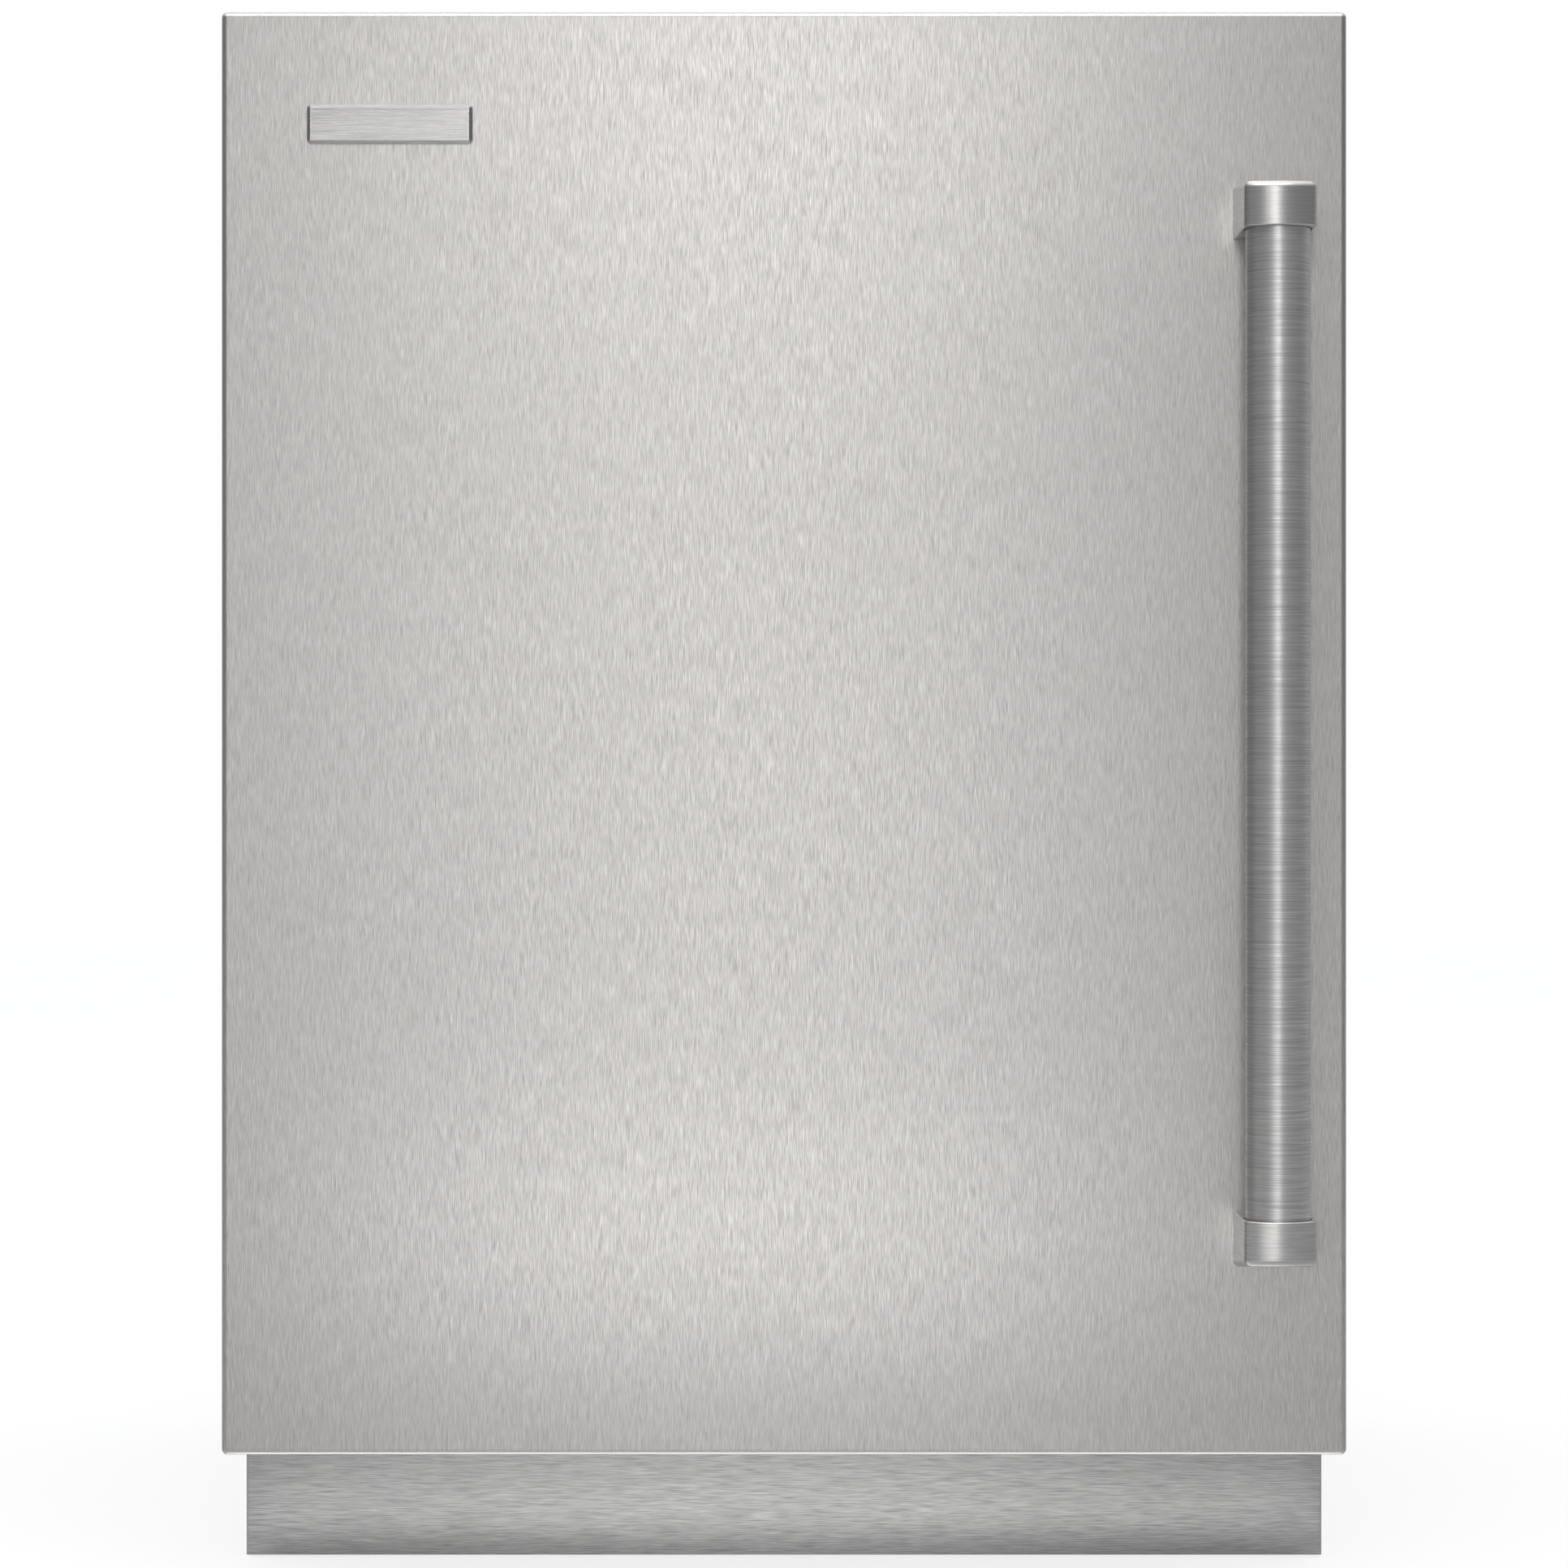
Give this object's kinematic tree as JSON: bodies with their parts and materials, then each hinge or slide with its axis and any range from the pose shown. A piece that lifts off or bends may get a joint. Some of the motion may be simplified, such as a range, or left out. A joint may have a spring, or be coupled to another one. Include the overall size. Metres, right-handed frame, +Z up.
{
  "type": "undercounter refrigerator",
  "caption": "Built-in undercounter refrigerator with a brushed stainless door hinged on the left, a round bar handle, a recessed toe kick and a shelved interior.",
  "frame": {"origin": "on the floor, under the middle of the whole object's outline", "axes": "+Z up, +Y towards the back, +X to the right as seen from the front"},
  "size_m": [0.603, 0.672, 0.847],
  "materials": {
    "brushed_stainless": "stainless sheet, brushed along one direction",
    "satin_stainless": "cast stainless, satin polished",
    "handle_tube": "stainless tube, brushed round its girth",
    "nameplate": "brushed aluminium with a bright bevelled rim",
    "casing_paint": "dark grey textured powder coat",
    "galvanised_steel": "galvanised steel sheet, spangled",
    "black_steel": "black powder-coated steel",
    "zinc_plated": "zinc-plated steel",
    "white_abs": "white thermoformed ABS, semi-gloss",
    "grey_frame": "grey moulded ABS edge frame",
    "foam": "rigid polyurethane foam",
    "gasket_rubber": "grey soft PVC seal",
    "clear_polystyrene": "clear crystal polystyrene",
    "shelf_glass": "tempered clear glass",
    "shelf_trim": "satin anodised aluminium trim",
    "white_plastic": "white moulded ABS",
    "button_plastic": "grey moulded ABS",
    "circuit_board": "green circuit board",
    "dark_display": "dark tinted acrylic",
    "frosted_lens": "frosted acrylic",
    "aluminium_coil": "aluminium tube and fins",
    "black_plastic": "black moulded plastic",
    "copper_tube": "bare copper tube",
    "compressor_paint": null,
    "black_rubber": "moulded rubber",
    "acetal": "natural acetal"
  },
  "bodies": {
    "cabinet": {"outer_shell": "casing_paint", "back_panel": "galvanised_steel", "floor_pan": "galvanised_steel", "rear_cover": "black_steel", "rear_spacers": "black_plastic", "cord_gland": "black_plastic", "base_frame": "black_steel", "machine_base_plate": "galvanised_steel", "toe_kick": "brushed_stainless", "toe_kick_clips": "zinc_plated", "liner": "white_abs", "insulation_foam": "foam", "hinge_bracket_top": "zinc_plated", "hinge_bracket_bottom": "zinc_plated", "hinge_pins": "zinc_plated", "casing_screws": "zinc_plated", "anti_tip_brackets": "zinc_plated", "shelf_glass": "shelf_glass", "shelf_trims": "shelf_trim", "drawer_rails": "white_plastic", "control_housing": "white_plastic", "control_board": "circuit_board", "display_window": "dark_display", "light_lens": "frosted_lens", "evaporator_coil": "aluminium_coil", "evaporator_cover": "white_plastic", "evaporator_fan_frame": "black_plastic", "condenser_coil": "aluminium_coil", "condenser_fan_frame": "black_plastic", "compressor": "compressor_paint", "compressor_grommets": "black_rubber", "start_relay": "black_plastic", "refrigerant_lines": "copper_tube", "drain_tube": "white_plastic", "drain_pan": "black_plastic"},
    "door": {"door_panel": "brushed_stainless", "door_edge_frame": "grey_frame", "door_liner": "white_abs", "door_foam": "foam", "door_gasket": "gasket_rubber", "handle_bar": "handle_tube", "handle_cap_top": "satin_stainless", "handle_cap_bottom": "satin_stainless", "handle_screws": "zinc_plated", "badge_plate": "nameplate", "hinge_bushings": "acetal"},
    "bin_upper": {"door_bin_upper": "clear_polystyrene", "bin_rail_upper": "shelf_trim"},
    "bin_lower": {"door_bin_lower": "clear_polystyrene", "bin_rail_lower": "shelf_trim"},
    "crisper": {"crisper_drawer": "clear_polystyrene"},
    "power_button": {"button_power": "button_plastic"},
    "colder_button": {"button_colder": "button_plastic"},
    "warmer_button": {"button_warmer": "button_plastic"},
    "evaporator_rotor": {"evaporator_fan_blade": "black_plastic"},
    "condenser_rotor": {"condenser_fan_blade": "black_plastic"},
    "levelling_foot_front_left": {"foot_front_left": "zinc_plated"},
    "levelling_foot_front_right": {"foot_front_right": "zinc_plated"},
    "levelling_foot_rear_left": {"foot_rear_left": "zinc_plated"},
    "levelling_foot_rear_right": {"foot_rear_right": "zinc_plated"}
  },
  "joints": [
    {"name": "door_hinge", "type": "hinge", "parent": "cabinet", "child": "door", "pos_m": [-0.287, -0.247, 0], "axis": [0, 0, -1], "range_deg": [0, 115]},
    {"name": "crisper_slide", "type": "slide", "parent": "cabinet", "child": "crisper", "axis": [0, -1, 0], "range_m": [0, 0.173]},
    {"name": "bin_upper_lift", "type": "slide", "parent": "door", "child": "bin_upper", "axis": [0, 0, 1], "range_m": [0, 0.025]},
    {"name": "bin_lower_lift", "type": "slide", "parent": "door", "child": "bin_lower", "axis": [0, 0, 1], "range_m": [0, 0.025]},
    {"name": "power_press", "type": "slide", "parent": "cabinet", "child": "power_button", "axis": [0, 1, 0], "range_m": [0, 0.0015], "stiffness_N_per_m": 400},
    {"name": "colder_press", "type": "slide", "parent": "cabinet", "child": "colder_button", "axis": [0, 1, 0], "range_m": [0, 0.0015], "stiffness_N_per_m": 400},
    {"name": "warmer_press", "type": "slide", "parent": "cabinet", "child": "warmer_button", "axis": [0, 1, 0], "range_m": [0, 0.0015], "stiffness_N_per_m": 400},
    {"name": "evaporator_fan_spin", "type": "hinge", "parent": "cabinet", "child": "evaporator_rotor", "pos_m": [0, 0.268, 0.64], "axis": [0, -1, 0], "continuous": true},
    {"name": "condenser_fan_spin", "type": "hinge", "parent": "cabinet", "child": "condenser_rotor", "pos_m": [-0.008, 0.248, 0.118], "axis": [1, 0, 0], "continuous": true},
    {"name": "foot_front_left_extend", "type": "slide", "parent": "cabinet", "child": "levelling_foot_front_left", "axis": [0, 0, -1], "range_m": [0, 0.02]},
    {"name": "foot_front_right_extend", "type": "slide", "parent": "cabinet", "child": "levelling_foot_front_right", "axis": [0, 0, -1], "range_m": [0, 0.02]},
    {"name": "foot_rear_left_extend", "type": "slide", "parent": "cabinet", "child": "levelling_foot_rear_left", "axis": [0, 0, -1], "range_m": [0, 0.02]},
    {"name": "foot_rear_right_extend", "type": "slide", "parent": "cabinet", "child": "levelling_foot_rear_right", "axis": [0, 0, -1], "range_m": [0, 0.02]}
  ],
  "couplings": [
    {"joint": "crisper_slide", "follows": "door_hinge", "m_per_rad": 0.085944}
  ]
}
